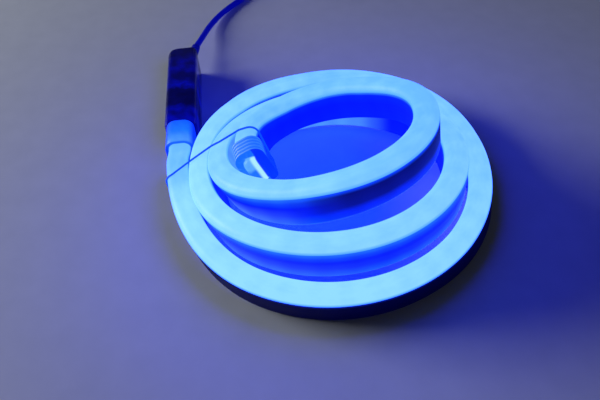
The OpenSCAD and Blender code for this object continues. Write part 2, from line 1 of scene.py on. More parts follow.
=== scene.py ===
"""Looks for an LED neon flex: three loose turns lit from inside, with a lead-in connector, a ribbed
end cap, a tie wire and a mains lead. Angles are in degrees. Sizes are in millimetres, as in the part's
source, apart from names that end in _M, and to_frame turns them into metres in the part's frame."""

import math
from collections import namedtuple
from functools import partial, reduce

import bmesh
import bpy
import numpy as np
from mathutils import Matrix, Vector


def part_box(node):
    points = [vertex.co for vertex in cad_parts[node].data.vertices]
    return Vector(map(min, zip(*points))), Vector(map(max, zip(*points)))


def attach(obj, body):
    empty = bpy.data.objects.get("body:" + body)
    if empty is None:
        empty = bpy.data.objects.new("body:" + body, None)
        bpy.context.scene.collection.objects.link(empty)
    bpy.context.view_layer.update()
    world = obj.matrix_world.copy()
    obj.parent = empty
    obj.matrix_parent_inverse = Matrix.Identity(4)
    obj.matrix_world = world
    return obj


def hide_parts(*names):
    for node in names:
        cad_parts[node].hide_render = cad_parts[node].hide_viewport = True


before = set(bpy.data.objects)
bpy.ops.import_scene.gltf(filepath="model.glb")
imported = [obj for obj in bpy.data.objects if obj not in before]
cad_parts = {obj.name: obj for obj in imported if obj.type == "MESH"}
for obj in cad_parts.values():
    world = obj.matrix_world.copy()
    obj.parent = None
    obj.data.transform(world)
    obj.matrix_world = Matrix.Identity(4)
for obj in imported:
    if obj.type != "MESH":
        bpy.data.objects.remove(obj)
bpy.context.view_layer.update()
ROOT = "root"
MM = 0.001

# ---- Sizes of the flex, as in the part's source ----
FLEX_W = 15.0
FLEX_H = 25.0
DOME_H = 5.0
SHOULDER_R = 5.0
WALL = 1.5
EDGE_R = 1.6
TONGUE_H = 2.0
FIT_GAP = 0.1
LED_PITCH = 16.5
WALL_H = FLEX_H - DOME_H

# ---- How the flex lies, as in the part's source ----
COIL_R = 98.0
TURN_GAP = 0.6
LEAN_PLAY = 7.0
NEST_LEAN = 35.0
TURN_PITCH = (FLEX_W + TURN_GAP + FLEX_H * math.sin(math.radians(LEAN_PLAY))) / math.cos(
    math.radians(NEST_LEAN))
START_DEG = 170.0
END_DEG = 1250.0
CONNECTOR_DEG = 180.0
LEAD_L = 38.0
LEAD_HEADING = 6.5
LEAD_LIFT = 2.5
LEAD_DIR = np.array([-math.sin(math.radians(LEAD_HEADING)), math.cos(math.radians(LEAD_HEADING)), 0])
TAIL_L = 12.0
SLEEVE_L = 23.0
SETTLE_L = LEAD_L - SLEEVE_L - 1
# How each sixth of a turn lies: bulge, height of the lowest edge, lean of the top in degrees.
FIRST_ROW_DEG = 120.0
ROW_DEG = 60.0
LIE = [
    (36, 2, 0), (-1, 2, 10), (-5, 0, 13), (-1, 0, 8), (11, 0, -7), (24, 1, 15),
    (26, 1, -4), (5, 9, 27), (6, 26, 7), (10, 32, 0), (14, 26, 0), (17, 10, 10),
    (20, 6, 22), (14, 19, 27), (5, 40, 3), (15, 64, -3), (16, 60, -7), (13, 42, -2),
    (26, 22, 3), (16, 25, 24), (-25, 20, 11),
]

# ---- Sizes of the end cap ----
CAP_GRIP = 11.0
CAP_NOSE = 8.0
CAP_WALL = 1.5
RIBS = 5
RIB_PITCH = 3.2
RIB_L = 1.6
RIB_H = 0.9
CAP_GRIP_END = (RIBS - 1) * RIB_PITCH - CAP_GRIP + RIB_L
NOSE_IN = 2.0
NOSE_R = 4.95
NOSE_LEAST_R = 0.5
NOSE_END_R = 3.0

# ---- Sizes of the connector and the mains lead ----
HOUSING_L = 94.0
HOUSING_W = 23.0
HOUSING_H = 26.0
HOUSING_WALL = 1.6
RELIEF_L = 22.0
RELIEF_D = 7.6
RELIEF_PLAY = 0.3
RELIEF_TURN = 9.0
RELIEF_DIP = 4.0
FLANGE_H = 0.6
CORD_D = 5.0


# ---- The flex's centre line ----
Ring = namedtuple("Ring", "centre along outward upward")


def curve(p0, p1, p2, p3, s):
    """A smooth curve through four points: its stretch from p1, at s = 0, to p2, at s = 1."""
    return (2 * p1 + (p2 - p0) * s + (2 * p0 - 5 * p1 + 4 * p2 - p3) * s * s
            + (3 * p1 - p0 - 3 * p2 + p3) * s * s * s) / 2


def ease(s):
    """Goes from 0 to 1 with a gentle start and end."""
    return s * s * (3 - 2 * s)


def unit(v):
    return v / np.linalg.norm(v)


def lie_at(deg):
    """Bulge, height and lean at an angle along the coil."""
    at = (deg - FIRST_ROW_DEG) / ROW_DEG
    row = math.floor(at)
    rows = [np.array(LIE[min(max(row + k, 0), len(LIE) - 1)], float) for k in (-1, 0, 1, 2)]
    return curve(*rows, at - row)


def centre_at(deg):
    """Centre of the section, half way up it, from the coil's centre."""
    bulge, height, lean = lie_at(deg)
    r = COIL_R - TURN_PITCH * (deg - CONNECTOR_DEG) / 360 + bulge
    a, q = math.radians(deg), math.radians(lean)
    return np.array([r * math.cos(a), r * math.sin(a),
                     height + FLEX_H / 2 * math.cos(q) + FLEX_W / 2 * abs(math.sin(q))])


def ring(centre, along, lean):
    """The section at a point of the centre line, square to it and leaning over."""
    q = math.radians(lean)
    v0 = unit(np.array([0, 0, 1.0]) - along[2] * along)
    u0 = np.cross(along, v0)
    return Ring(centre, along, u0 * math.cos(q) - v0 * math.sin(q), v0 * math.cos(q) + u0 * math.sin(q))


def coil_ring(deg, step=0.5):
    """A section of the coil, square to the line from just before it to just after."""
    return ring(centre_at(deg), unit(centre_at(deg + step) - centre_at(deg - step)), lie_at(deg)[2])


def lead_ring(d):
    """A section of the straight lead-in, at a distance back from the coil."""
    first = centre_at(START_DEG)
    s = ease(min(1, d / SETTLE_L))
    centre = first + d * LEAD_DIR
    centre[2] = first[2] * (1 - s) + (FLEX_H / 2 + LEAD_LIFT) * s
    return ring(centre, -LEAD_DIR, lie_at(START_DEG)[2] * (1 - s))


def shifted(r, y):
    """A ring moved along the flex."""
    return r._replace(centre=r.centre + y * r.along)


def flex_rings(ring_deg, lead_steps, settle_steps, tail_steps):
    """Sections from the connector's end to the cap's end."""
    lead = [lead_ring(SETTLE_L + (LEAD_L - SETTLE_L) * k / lead_steps) for k in range(lead_steps, 0, -1)]
    settle = [lead_ring(SETTLE_L * k / settle_steps) for k in range(settle_steps, 0, -1)]
    count = round((END_DEG - START_DEG) / ring_deg)
    coil = [coil_ring(START_DEG + ring_deg * k) for k in range(count + 1)]
    tail = [shifted(coil[-1], TAIL_L * k / tail_steps) for k in range(1, tail_steps + 1)]
    return lead + settle + coil + tail


def run_to(deg, steps=200):
    """How far along the flex, in metres from the connector, the coil reaches an angle."""
    line = [centre_at(START_DEG + (deg - START_DEG) * k / steps) for k in range(steps + 1)]
    return (LEAD_L + sum(np.linalg.norm(b - a) for a, b in zip(line, line[1:]))) * MM


def on_ring(r, x, y):
    """A point of a section: x outwards, y up from the underside."""
    return r.centre + x * r.outward + (y - FLEX_H / 2) * r.upward


def from_lead_end(x, y, z):
    """A point by the connector: y on from the flex's end, z above the floor."""
    end = lead_ring(LEAD_L).centre
    return np.array([end[0] + x * LEAD_DIR[1] + y * LEAD_DIR[0],
                     end[1] - x * LEAD_DIR[0] + y * LEAD_DIR[1], z])


# ---- Where the coil's centre is in the part's frame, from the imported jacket's box ----
# The sections that the CAD jacket goes through.
CAD_RINGS = dict(ring_deg=12.0, lead_steps=1, settle_steps=4, tail_steps=1)


def coil_centre():
    half = FLEX_W / 2
    corners = [(half, WALL_H), (half, EDGE_R), (half - EDGE_R, 0),
               (-half, WALL_H), (-half, EDGE_R), (EDGE_R - half, 0)]
    points = np.array([on_ring(r, *corner) for r in flex_rings(**CAD_RINGS) for corner in corners])
    own = (points.min(0) + points.max(0)) / 2 * MM
    low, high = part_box("jacket")
    return Vector(((low.x + high.x) / 2 - own[0], (low.y + high.y) / 2 - own[1], 0))


COIL = coil_centre()


def to_frame(p):
    """A point in millimetres from the coil's centre, as metres in the part's frame."""
    return Vector((p[0] * MM + COIL.x, p[1] * MM + COIL.y, p[2] * MM))


# ---- Camera: its distance from the coil's centre, its angle above the floor, how far it then turns
# from looking straight at the centre, and its lens ----
CAMERA_RANGE = 451.87
CAMERA_ABOVE = 47.353
CAMERA_YAW = -2.574
CAMERA_PITCH = 0.28
CAMERA_ROLL = 1.495
CAMERA_LENS = 40.21
CAMERA_FILM_W = 36
CAMERA_CLIP_M = (0.01, 20)


def turned(a, b, deg):
    """Two perpendicular axes turned in their own plane."""
    c, s = math.cos(math.radians(deg)), math.sin(math.radians(deg))
    return c * a - s * b, s * a + c * b


def make_camera():
    """The scene's camera, in front of the part."""
    q = math.radians(CAMERA_ABOVE)
    eye = np.array([0, -math.cos(q), math.sin(q)]) * CAMERA_RANGE
    ahead = -unit(eye)
    right = np.array([1.0, 0, 0])
    above = np.cross(right, ahead)
    right, ahead = turned(right, ahead, CAMERA_YAW)
    above, ahead = turned(above, ahead, CAMERA_PITCH)
    right, above = turned(right, above, CAMERA_ROLL)
    data = bpy.data.cameras.new("camera")
    data.lens = CAMERA_LENS
    data.sensor_width = CAMERA_FILM_W
    data.clip_start, data.clip_end = CAMERA_CLIP_M
    camera = bpy.data.objects.new("camera", data)
    axes = Matrix((right, above, -ahead)).transposed().to_4x4()
    camera.matrix_world = Matrix.Translation(to_frame(eye)) @ axes
    bpy.context.scene.collection.objects.link(camera)
    bpy.context.scene.camera = camera


# ---- Outlines of sections: points x across and y up ----
CORNER_STEPS = 10
EDGE_STEPS = 5
LIP_STEPS = 3
DOME_STEPS = 9
DOME_FROM_DEG = 4
LIP_R = 0.35
SEAM_DEPTH = 0.25
# The flat wall has points at these heights, so that it is shaded flat between its rounded edges.
WALL_POINTS = (4, 8, 12, 15, 17, 18.4)
CROWN_W = 1.2


def arc(cx, cy, rx, ry, a0, a1, steps):
    """Points along part of an ellipse, from one angle to another."""
    angles = [math.radians(a0 + (a1 - a0) * k / steps) for k in range(steps + 1)]
    return [(cx + rx * math.cos(a), cy + ry * math.sin(a)) for a in angles]


def mirrored(points):
    """The same points on the other side, in the order in which an outline goes on through them."""
    return [(-x, y) for x, y in reversed(points)]


def jacket_outline():
    """The channel, filled up to the diffuser's tongue, because nothing below it shows."""
    half = FLEX_W / 2
    right = arc(half - EDGE_R, EDGE_R, EDGE_R, EDGE_R, -90, 0, EDGE_STEPS)
    right += [(half, y) for y in WALL_POINTS]
    right += arc(half - LIP_R, WALL_H - LIP_R, LIP_R, LIP_R, 0, 90, LIP_STEPS)
    right += [(half - WALL + LIP_R, WALL_H - SEAM_DEPTH), (half - WALL, WALL_H - TONGUE_H)]
    return right + mirrored(right)


def diffuser_outline():
    """The dome and its tongue, which bites a little into the walls so that no slit shows."""
    half, bite = FLEX_W / 2, FIT_GAP
    right = [(half - WALL + bite, WALL_H - TONGUE_H + bite), (half - WALL + 2 * bite, WALL_H + bite),
             (half - LIP_R, WALL_H + bite / 2)]
    right += arc(half - SHOULDER_R, WALL_H, SHOULDER_R, DOME_H, DOME_FROM_DEG, 90, DOME_STEPS)
    right += [(CROWN_W, FLEX_H)]
    return right + mirrored(right)


def rounded(half, low, high, r_low, r_high):
    """A section with rounded corners. It has the same number of points whatever its size."""
    right = (arc(half - r_low, low + r_low, r_low, r_low, -90, 0, CORNER_STEPS)
             + arc(half - r_high, high - r_high, r_high, r_high, 0, 90, CORNER_STEPS))
    return right + mirrored(right)


def flex_outline(grown):
    """The flex's outline grown all round."""
    return rounded(FLEX_W / 2 + grown, -grown, FLEX_H + grown, EDGE_R + grown, SHOULDER_R + grown)


def nose_outline(inset):
    """The cap's nose, drawn in all round."""
    low, r = NOSE_IN + inset, max(NOSE_R - inset, NOSE_LEAST_R)
    return rounded(FLEX_W / 2 - low, low, FLEX_H - low, r, r)


# ---- Meshes ----
BEVEL_STEPS = 2
BEVEL_FROM_DEG = 30
FLAT_WITHIN_DEG = 1
WELD_M = 1e-6


def new_object(name, mesh):
    """Puts a mesh into the scene, shaded smooth."""
    piece = bpy.data.objects.new(name, mesh)
    bpy.context.scene.collection.objects.link(piece)
    mesh.polygons.foreach_set("use_smooth", [True] * len(mesh.polygons))
    return piece


def loft(name, loops, closed=False):
    """Skins loops that all have as many points: into a ring if closed, else with both ends filled."""
    n, m = len(loops[0]), len(loops)
    faces = [(i * n + k, i * n + (k + 1) % n, (i + 1) % m * n + (k + 1) % n, (i + 1) % m * n + k)
             for i in range(m if closed else m - 1) for k in range(n)]
    if not closed:
        faces += [tuple(range(n - 1, -1, -1)), tuple(range((m - 1) * n, m * n))]
    mesh = bpy.data.meshes.new(name)
    mesh.from_pydata([p for loop in loops for p in loop], [], faces)
    mesh.validate()
    return new_object(name, mesh)


def add_map(piece, name, count, place):
    """A map for the material: place gives its two values from a point's loop and its number there."""
    layer = piece.data.uv_layers.new(name=name)
    for corner in piece.data.loops:
        layer.data[corner.index].uv = place(*divmod(corner.vertex_index, count))


def sweep(name, rings, outline):
    """An outline carried along rings. Its maps are the run in metres with the height from 0 to 1, and
    the run with the place across from -1 to 1."""
    centres = np.array([r.centre for r in rings])
    run = np.concatenate([[0], np.cumsum(np.linalg.norm(np.diff(centres, axis=0), axis=1))]) * MM
    piece = loft(name, [[to_frame(on_ring(r, *p)) for p in outline] for r in rings])
    add_map(piece, "run_height", len(outline), lambda i, k: (run[i], outline[k][1] / FLEX_H))
    add_map(piece, "run_across", len(outline), lambda i, k: (run[i], outline[k][0] / FLEX_W * 2))
    return piece


def around_flex(name, r, chain, closed=False):
    """A piece round the flex, from sections at places along it. Its maps are in millimetres: along
    with up, and across with along."""
    loops = [[to_frame(on_ring(shifted(r, y), *p)) for p in outline] for y, outline in chain]
    piece = loft(name, loops, closed)
    count = len(loops[0])
    add_map(piece, "along_up", count, lambda i, k: (chain[i][0], chain[i][1][k][1]))
    add_map(piece, "across", count, lambda i, k: (chain[i][1][k][0], chain[i][0]))
    return piece


def tube(name, points, radius, sides):
    """A round tube along points, all in metres."""
    last = len(points) - 1
    across = Vector((0, 0, 1))
    loops = []
    for i, point in enumerate(points):
        along = (points[min(i + 1, last)] - points[max(i - 1, 0)]).normalized()
        across = (across - across.dot(along) * along).normalized()
        other = along.cross(across)
        angles = [2 * math.pi * k / sides for k in range(sides)]
        loops.append([point + radius * (across * math.cos(q) + other * math.sin(q)) for q in angles])
    return loft(name, loops)


def softened(node, name, width):
    """A copy of a CAD node's mesh with its edges rounded."""
    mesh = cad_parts[node].data.copy()
    mesh.name = name
    bm = bmesh.new()
    bm.from_mesh(mesh)
    bmesh.ops.remove_doubles(bm, verts=bm.verts, dist=WELD_M)
    bmesh.ops.dissolve_limit(bm, angle_limit=math.radians(FLAT_WITHIN_DEG), verts=bm.verts,
                             edges=bm.edges)
    bm.to_mesh(mesh)
    bm.free()
    mesh.materials.clear()
    piece = new_object(name, mesh)
    bevel = piece.modifiers.new("edges", "BEVEL")
    bevel.width = width * MM
    bevel.segments = BEVEL_STEPS
    bevel.limit_method = "ANGLE"
    bevel.angle_limit = math.radians(BEVEL_FROM_DEG)
    bevel.harden_normals = True
    bpy.context.view_layer.objects.active = piece
    bpy.ops.object.select_all(action="DESELECT")
    piece.select_set(True)
    bpy.ops.object.modifier_apply(modifier="edges")
    return piece


# ---- Mains lead: its route, as in the part's source, then its coil and the way to the plug ----
CORD_POINTS = [(-106, 192, 8.5), (-103, 211, 5.5), (-97, 230, 3.6), (-88, 247, 2.8), (-79, 260, 2.6),
               (-73, 272, 2.8), (-70.5, 284.8, 3.6)]
PLUG_POINTS = [(-11.2, 330.1, 13.6), (-4, 328, 13), (6, 324.5, 10.5), (16, 321.6, 8), (26, 318.8, 7)]
CORD_STEPS = 8
PLUG_STEPS = 6
CORD_SIDES = 16
COIL_AT = (-38.0, 304.0)
COIL_LIFT = 3.6
COIL_STEPS = 48
# Each turn of the lead's coil: its radius, and its layer from the lowest up.
LANES = [(32.5, 0), (27.5, 0), (22.5, 0), (22.5, 1), (27.5, 1), (32.5, 1), (32.5, 2)]
# After its last turn the lead runs on over the coil by this angle, with a point at every step.
RUN_ON_DEG = 104
RUN_ON_STEP = 8


def relief_tip():
    """Where the lead leaves its strain relief."""
    x = HOUSING_W / 2 - HOUSING_WALL - RELIEF_D / 2 - FLANGE_H - RELIEF_PLAY
    out = HOUSING_WALL / 2 + RELIEF_L
    a, b = math.radians(RELIEF_TURN), math.radians(RELIEF_DIP)
    return from_lead_end(x + out * math.sin(a) * math.cos(b),
                         HOUSING_L - HOUSING_WALL / 2 + out * math.cos(a) * math.cos(b),
                         HOUSING_H / 2 - out * math.sin(b))


def smooth_route(points, steps):
    """A smooth line through points, with so many steps from each to the next."""
    p = [np.array(q, float) for q in points]
    p = [2 * p[0] - p[1], *p, 2 * p[-1] - p[-2]]
    return [curve(*p[i:i + 4], k / steps) for i in range(len(p) - 3) for k in range(steps)] + [p[-2]]


def wound(deg, radius, layer):
    """A point of the lead's coil, which starts on its left side and winds clockwise."""
    a = math.radians(180 - deg)
    return np.array([COIL_AT[0] + radius * math.cos(a), COIL_AT[1] + radius * math.sin(a),
                     layer * CORD_D + COIL_LIFT])


def coil_of_cord():
    """Turn after turn. In its last quarter, each moves over to the next one's lane."""
    points = []
    last = len(LANES) - 1
    for step in range(len(LANES) * COIL_STEPS + 1):
        lane = min(step // COIL_STEPS, last)
        here, after = LANES[lane], LANES[min(lane + 1, last)]
        s = ease(max(0.0, (step / COIL_STEPS - lane) * 4 - 3))
        radius, layer = (a * (1 - s) + b * s for a, b in zip(here, after))
        points.append(wound(360 * step / COIL_STEPS, radius, layer))
    return points + [wound(deg, *LANES[-1]) for deg in range(RUN_ON_STEP, RUN_ON_DEG + 1, RUN_ON_STEP)]


def cord_line():
    """The whole lead, from its strain relief to its plug."""
    return (smooth_route([relief_tip()] + CORD_POINTS, CORD_STEPS) + coil_of_cord()
            + smooth_route(PLUG_POINTS, PLUG_STEPS))


# ---- Tie wire: a loop pulled tight round the turns, each crossed at its own angle ----
WIRE_R = 0.65
WIRE_SIDES = 10
WIRE_OFF = 0.72
WIRE_STEP = 1.2
OVER_STEPS = 12
UNDER_STEPS = 5
# Each turn's angle where the wire crosses it, and from where to where it follows the outline there.
TIE_OVER = [(178.0, 0, 0.5), (532.0, 0.5, 0.56), (889.0, 0.28, 0.6), (1240.0, 0.4, 1)]
TIE_UNDER = [(1240.0, 0, 0.5), (884.0, 0.2, 0.8), (531.0, 0.2, 0.8), (178.0, 0, 1)]
TWIST_L = 12.0
TWIST_TURNS = 2.0
TWIST_R = 0.715
TWIST_OFF = 0.2
TWIST_DROP = 0.3
TWIST_STEPS = 44
# Pulling tight: how often, what share of the slack each time, and the furthest that a point is pushed.
PULLS = 260
PULL_SHARE = 0.5
PUSH_MOST = 0.6
# The wire grips where it is within this of touching, and a point looks only at sections this near.
GRIP = 0.15
NEAR_ALONG = 2.5


def crossing(outline, deg, first, last):
    """The wire's places at a turn, from first to last of an outline, 0 to 1."""
    a, b = round(first * (len(outline) - 1)), round(last * (len(outline) - 1))
    r = coil_ring(deg)
    return [on_ring(r, *p) for p in outline[a:b + 1]]


def over(*where):
    """The wire's places over a turn, from its outer side to its inner."""
    shoulder = arc(FLEX_W / 2 - SHOULDER_R, WALL_H, SHOULDER_R + WIRE_OFF, DOME_H + WIRE_OFF, 0, 90,
                   OVER_STEPS)
    return crossing(shoulder + mirrored(shoulder), *where)


def under(*where):
    """The wire's places under a turn, from its inner side to its outer."""
    edge = arc(FLEX_W / 2 - EDGE_R, EDGE_R, EDGE_R + WIRE_OFF, EDGE_R + WIRE_OFF, -90, 0, UNDER_STEPS)
    return crossing(mirrored(edge) + edge, *where)


def strand(phase):
    """One of the two twisted ends, back along the outer wall."""
    r = coil_ring(TIE_OVER[0][0])
    start = on_ring(r, FLEX_W / 2 + WIRE_OFF + TWIST_OFF + TWIST_R, WALL_H / 2)
    out = unit(-r.along - TWIST_DROP * r.upward)
    rise = unit(np.cross(out, r.outward))
    side = np.cross(out, rise)
    turns = [(k / TWIST_STEPS, math.radians(phase + 360 * TWIST_TURNS * k / TWIST_STEPS))
             for k in range(TWIST_STEPS + 1)]
    return [start + out * (TWIST_R + TWIST_L * s) + TWIST_R * (rise * math.cos(q) + side * math.sin(q))
            for s, q in turns]


def spaced(points, step):
    """The same line with a point at every step."""
    p = np.array(points)
    run = np.concatenate([[0], np.cumsum(np.linalg.norm(np.diff(p, axis=0), axis=1))])
    at = np.linspace(0, run[-1], max(2, round(run[-1] / step)))
    return np.stack([np.interp(at, run, p[:, k]) for k in range(3)], axis=1)


def pulled_tight(line, rings):
    """Shortens a line round the flex between its fixed ends, held by friction where it touches."""
    centre, along, outward, upward = (np.array(column) for column in zip(*rings))
    row = np.arange(len(line))
    for _ in range(PULLS):
        # How far each point is outside each section, and which section it is nearest to.
        off = line[:, None] - centre[None]
        lag = np.abs((off * along).sum(2))
        x, y = (off * outward).sum(2), (off * upward).sum(2)
        radius = np.where(y > 0, SHOULDER_R, EDGE_R)
        qx, qy = np.abs(x) - (FLEX_W / 2 - radius), np.abs(y) - (FLEX_H / 2 - radius)
        gap = np.hypot(np.maximum(qx, 0), np.maximum(qy, 0)) + np.minimum(np.maximum(qx, qy), 0) - radius
        gap = np.where(lag < NEAR_ALONG, gap, np.inf)
        near = gap.argmin(1)
        least = gap[row, near]
        # A push straight out of that section.
        nx, ny = np.maximum(qx[row, near], 0), np.maximum(qy[row, near], 0)
        size = np.maximum(np.hypot(nx, ny), 1e-6)
        nx, ny = np.sign(x[row, near]) * nx / size, np.sign(y[row, near]) * ny / size
        way_out = nx[:, None] * outward[near] + ny[:, None] * upward[near]
        push = np.clip(WIRE_OFF - least, 0, PUSH_MOST)[:, None] * way_out
        # A pull towards the neighbours' middle, but not along the flex where the wire grips it.
        pull = np.zeros_like(line)
        pull[1:-1] = PULL_SHARE * ((line[:-2] + line[2:]) / 2 - line[1:-1])
        held = (least < WIRE_OFF + GRIP)[:, None]
        pull = np.where(held, pull - (pull * along[near]).sum(1, keepdims=True) * along[near], pull)
        push[[0, -1]] = 0
        line = line + pull + push
    return line


def tie_line(rings):
    """The whole wire: one twisted end, the loop round the turns, and the other end."""
    one_end, other_end = strand(0), strand(180)
    loop = [p for where in TIE_OVER for p in over(*where)]
    loop += [p for where in TIE_UNDER for p in under(*where)]
    loop = pulled_tight(spaced([one_end[0]] + loop + [other_end[0]], WIRE_STEP), rings)
    return one_end[:0:-1] + smooth_route(loop, 2) + other_end[1:]


# ---- Sleeve and end cap: sections at places along the flex ----
# The sleeve's places along the flex and its distances from it: from inside its mouth, over its outside
# and back inside at its other end.
SLEEVE = [(SLEEVE_L - 0.5, FIT_GAP), (SLEEVE_L, 0.5), (SLEEVE_L, 1.9), (SLEEVE_L - 0.15, 2.25),
          (SLEEVE_L - 0.5, 2.42), (SLEEVE_L - 8, 2.4), (8, 2.36), (0.7, 2.3), (0.3, 2.15), (0.1, 1.8),
          (0.1, FIT_GAP)]
# The cap's mouth: places, and how far each is from the flex.
CAP_MOUTH = [(0.1, FIT_GAP), (0.3 - CAP_GRIP, FIT_GAP), (-CAP_GRIP, 0.4)]
# One rib and the groove after it: places, and how far each stands out from the cap's wall.
RIB_SIDE = [(0, 0.35), (0.12, 0.72), (0.4, RIB_H)]
RIB = RIB_SIDE + [(RIB_L - y, out) for y, out in reversed(RIB_SIDE)]
GROOVE = [(RIB_L + 0.2, 0.05), (RIB_PITCH - 0.2, 0.05)]
# The nose's foot: places after the last rib, and how far each is drawn in.
NOSE_FOOT = [(0.02, -0.8), (0.25, -0.2), (0.6, 0)]
NOSE_STEPS = 6


def sleeve_chain():
    """The sleeve's inner and outer surface as one chain of sections."""
    return [(y, flex_outline(out)) for y, out in SLEEVE]


def cap_chain():
    """The cap from its mouth over the ribs, with a groove between each two, to its rounded nose."""
    chain = [(y, flex_outline(out)) for y, out in CAP_MOUTH]
    for k in range(RIBS):
        start = k * RIB_PITCH - CAP_GRIP
        profile = RIB + GROOVE if k < RIBS - 1 else RIB
        chain += [(start + y, flex_outline(CAP_WALL + out)) for y, out in profile]
    chain += [(CAP_GRIP_END + y, nose_outline(inset)) for y, inset in NOSE_FOOT]
    for k in range(1, NOSE_STEPS + 1):
        a = math.radians(90 * k / NOSE_STEPS)
        back, inset = NOSE_END_R * (1 - math.sin(a)), NOSE_END_R * (1 - math.cos(a))
        chain.append((CAP_NOSE - back, nose_outline(inset)))
    return chain


# ---- Materials. A noise's scale is how many of its features there are in a metre ----
NOISE_RANGE = (0.3, 0.7)
CLOUD_SCALE = 60
GLOSS_SCALE = 140
GLOSS_PLAY = 0.07
BRUSH_SCALES = (30.0, 30.0, 900.0)
DULL_SHARE = 0.72


class Look:
    """A procedural material: a Principled shader and the nodes that feed it."""

    def __init__(self, name, color, rough, **inputs):
        self.material = bpy.data.materials.new(name)
        self.material.use_nodes = True
        self.tree = self.material.node_tree
        self.shader = self.tree.nodes["Principled BSDF"]
        self.feed(self.shader, Base_Color=(*color, 1), Roughness=rough, **inputs)

    def feed(self, node, **inputs):
        """Gives a node's inputs a value or a link, by name."""
        for key, value in inputs.items():
            self.plug(node.inputs[key.replace("_", " ")], value)
        return node

    def plug(self, socket, value):
        """Gives one input a value or a link."""
        if isinstance(value, bpy.types.NodeSocket):
            self.tree.links.new(value, socket)
        else:
            socket.default_value = value

    def add(self, kind, **settings):
        node = self.tree.nodes.new("ShaderNode" + kind)
        for key, value in settings.items():
            setattr(node, key, value)
        return node

    def math(self, operation, *values):
        node = self.add("Math", operation=operation)
        for socket, value in zip(node.inputs, values):
            self.plug(socket, value)
        return node.outputs[0]

    def plus(self, *values):
        return reduce(partial(self.math, "ADD"), values)

    def times(self, *values):
        return reduce(partial(self.math, "MULTIPLY"), values)

    def place(self):
        """Where a point is in the part's frame."""
        return self.add("TexCoord").outputs["Object"]

    def split(self, vector):
        parts = self.add("SeparateXYZ")
        self.plug(parts.inputs[0], vector)
        return parts.outputs

    def join(self, x, y, z=0.0):
        node = self.add("CombineXYZ")
        for socket, value in zip(node.inputs, (x, y, z)):
            self.plug(socket, value)
        return node.outputs[0]

    def uv(self, name):
        """The two values of one of the mesh's own maps."""
        return self.split(self.add("UVMap", uv_map=name).outputs[0])[:2]

    def noise(self, vector, scale=1.0, detail=2.0, roughness=0.5):
        node = self.add("TexNoise")
        self.feed(node, Vector=vector, Scale=scale, Detail=detail, Roughness=roughness)
        return node.outputs["Fac"]

    def spread(self, value, low, high, to_low=0.0, to_high=1.0, smooth=False):
        """Maps a value from one range to another, and holds it there."""
        node = self.add("MapRange", interpolation_type="SMOOTHSTEP" if smooth else "LINEAR")
        self.feed(node, Value=value, From_Min=low, From_Max=high, To_Min=to_low, To_Max=to_high)
        return node.outputs[0]

    def vary(self, noise, low, high):
        """Maps a noise to a range that it seldom leaves."""
        return self.spread(noise, *NOISE_RANGE, low, high)

    def ramp(self, value, *stops):
        """Colours at places from 0 to 1."""
        node = self.add("ValToRGB")
        self.plug(node.inputs[0], value)
        band = node.color_ramp.elements
        while len(band) < len(stops):
            band.new(0.5)
        for element, (at, color) in zip(band, stops):
            element.position = at
            element.color = (*color, 1)
        return node.outputs[0]

    def mottled(self, noise, dark, light):
        """A colour that a noise moves from one to another."""
        return self.ramp(noise, *zip(NOISE_RANGE, (dark, light)))

    def blend(self, share, a, b, mode="MIX"):
        """Goes from colour a, at a share of 0, to colour b, at 1."""
        node = self.add("Mix", data_type="RGBA", blend_type=mode)
        for index, value in ((0, share), (6, a), (7, b)):
            if isinstance(value, tuple):
                value = (*value, 1)
            self.plug(node.inputs[index], value)
        return node.outputs[2]

    def dimmed(self, color, level):
        """A colour times a level."""
        return self.blend(1.0, color, self.join(level, level, level), "MULTIPLY")

    def bump(self, height, depth_mm):
        """Bumps in the surface that follow a height from 0 to 1."""
        node = self.feed(self.add("Bump"), Height=height, Distance=depth_mm * MM, Strength=1.0)
        self.plug(self.shader.inputs["Normal"], node.outputs[0])

    def show(self, **inputs):
        """Feeds the shader its last inputs and gives the finished material."""
        self.feed(self.shader, **inputs)
        return self.material

    # What depends on the run along the flex, in metres.
    def beat(self, run, low, high):
        """Rises and falls once with each LED."""
        wave = self.math("COSINE", self.times(run, 2 * math.pi / (LED_PITCH * MM)))
        return self.spread(wave, -1.0, 1.0, low, high)

    def from_to(self, run, none_deg, all_deg):
        """Grows smoothly from 0 at one angle along the coil to 1 at another."""
        return self.spread(run, run_to(none_deg), run_to(all_deg), smooth=True)

    def by_angle(self, run, table):
        """A level that a table gives at angles along the coil."""
        whole = run_to(END_DEG)
        stops = [(run_to(deg) / whole, (level, level, level)) for deg, level in table]
        return self.split(self.ramp(self.spread(run, 0.0, whole), *stops))[0]


def moulded(name, dark, light, rough, grain_mm=0.35, depth_mm=0.02, **inputs):
    """Moulded or extruded plastic: slow changes of colour, a fine grain and uneven gloss."""
    look = Look(name, light, rough, **inputs)
    cloud = look.noise(look.place(), scale=CLOUD_SCALE, detail=3)
    gloss = look.noise(look.place(), scale=GLOSS_SCALE, detail=4)
    look.bump(look.noise(look.place(), scale=1 / (grain_mm * MM), detail=3), depth_mm)
    return look.show(Base_Color=look.mottled(cloud, dark, light),
                     Roughness=look.vary(gloss, rough - GLOSS_PLAY, rough + GLOSS_PLAY))


